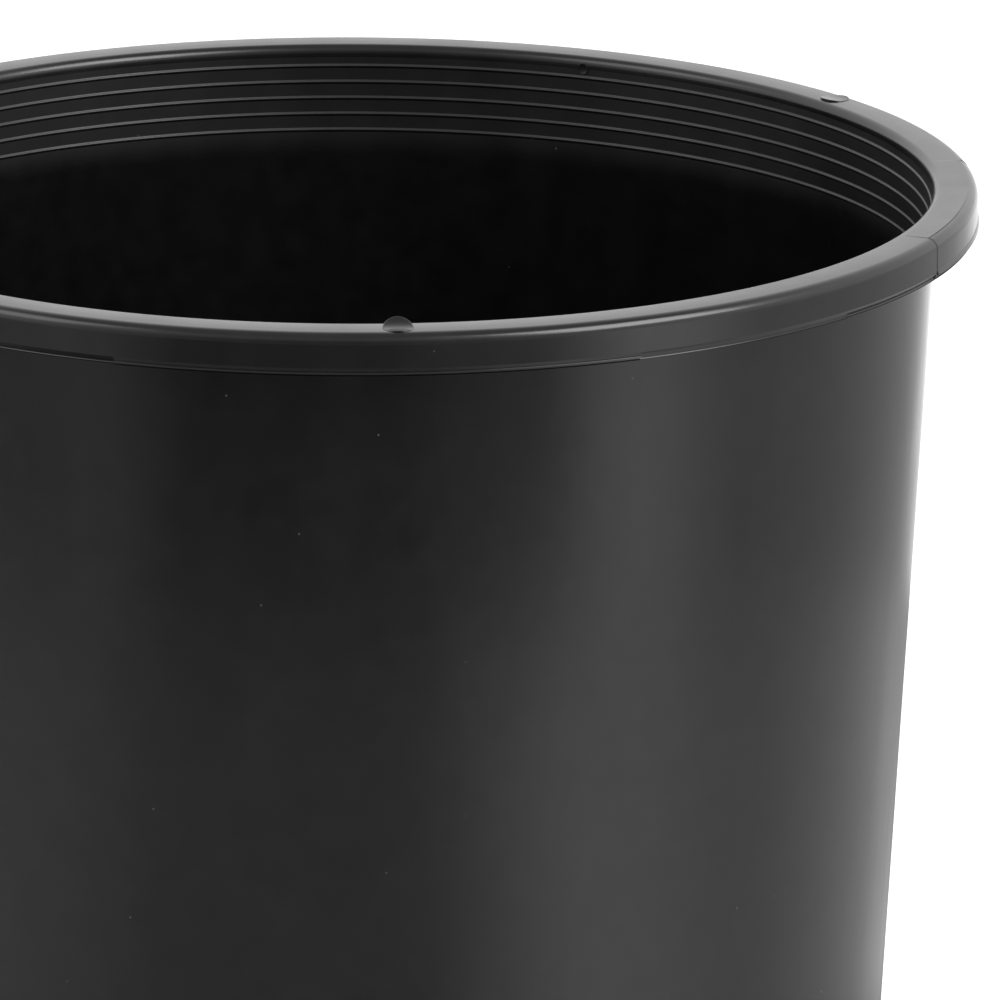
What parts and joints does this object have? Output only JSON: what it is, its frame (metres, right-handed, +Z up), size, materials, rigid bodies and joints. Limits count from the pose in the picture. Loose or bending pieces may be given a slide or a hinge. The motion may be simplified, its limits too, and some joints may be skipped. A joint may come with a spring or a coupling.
{
  "type": "florist bucket",
  "caption": "Tapered round bucket in black moulded plastic for cut flowers, with a flat rolled rim, a short skirt, fine beads inside the mouth and a domed base.",
  "frame": {"origin": "centre of the foot ring's underside, on the bucket's axis, which is the plane it rests on", "axes": "+Z up along the bucket's axis, out of its mouth; -Y is the front, the side that the reference view looks at; +X is to the right in that view"},
  "size_m": [0.2636, 0.2628, 0.2617],
  "materials": {
    "black_plastic": "satin moulded polypropylene with a faint grain, slightly glossier outside than on the rim"
  },
  "bodies": {
    "root": {"body_wall": "black_plastic", "beaded_band": "black_plastic", "rim_flange": "black_plastic", "rim_skirt": "black_plastic", "skirt_lip_front": "black_plastic", "skirt_lip_right": "black_plastic", "skirt_lip_rear": "black_plastic", "heel": "black_plastic", "foot_ring": "black_plastic", "base_panel": "black_plastic", "inner_bead_1": "black_plastic", "inner_bead_2": "black_plastic", "inner_bead_3": "black_plastic", "inner_bead_4": "black_plastic", "inner_bead_5": "black_plastic", "rim_grip_right": "black_plastic", "rim_grip_left": "black_plastic", "ejector_mark_front": "black_plastic", "ejector_mark_right": "black_plastic", "ejector_mark_left": "black_plastic", "wall_pip": "black_plastic", "gate_mark": "black_plastic"}
  },
  "joints": []
}
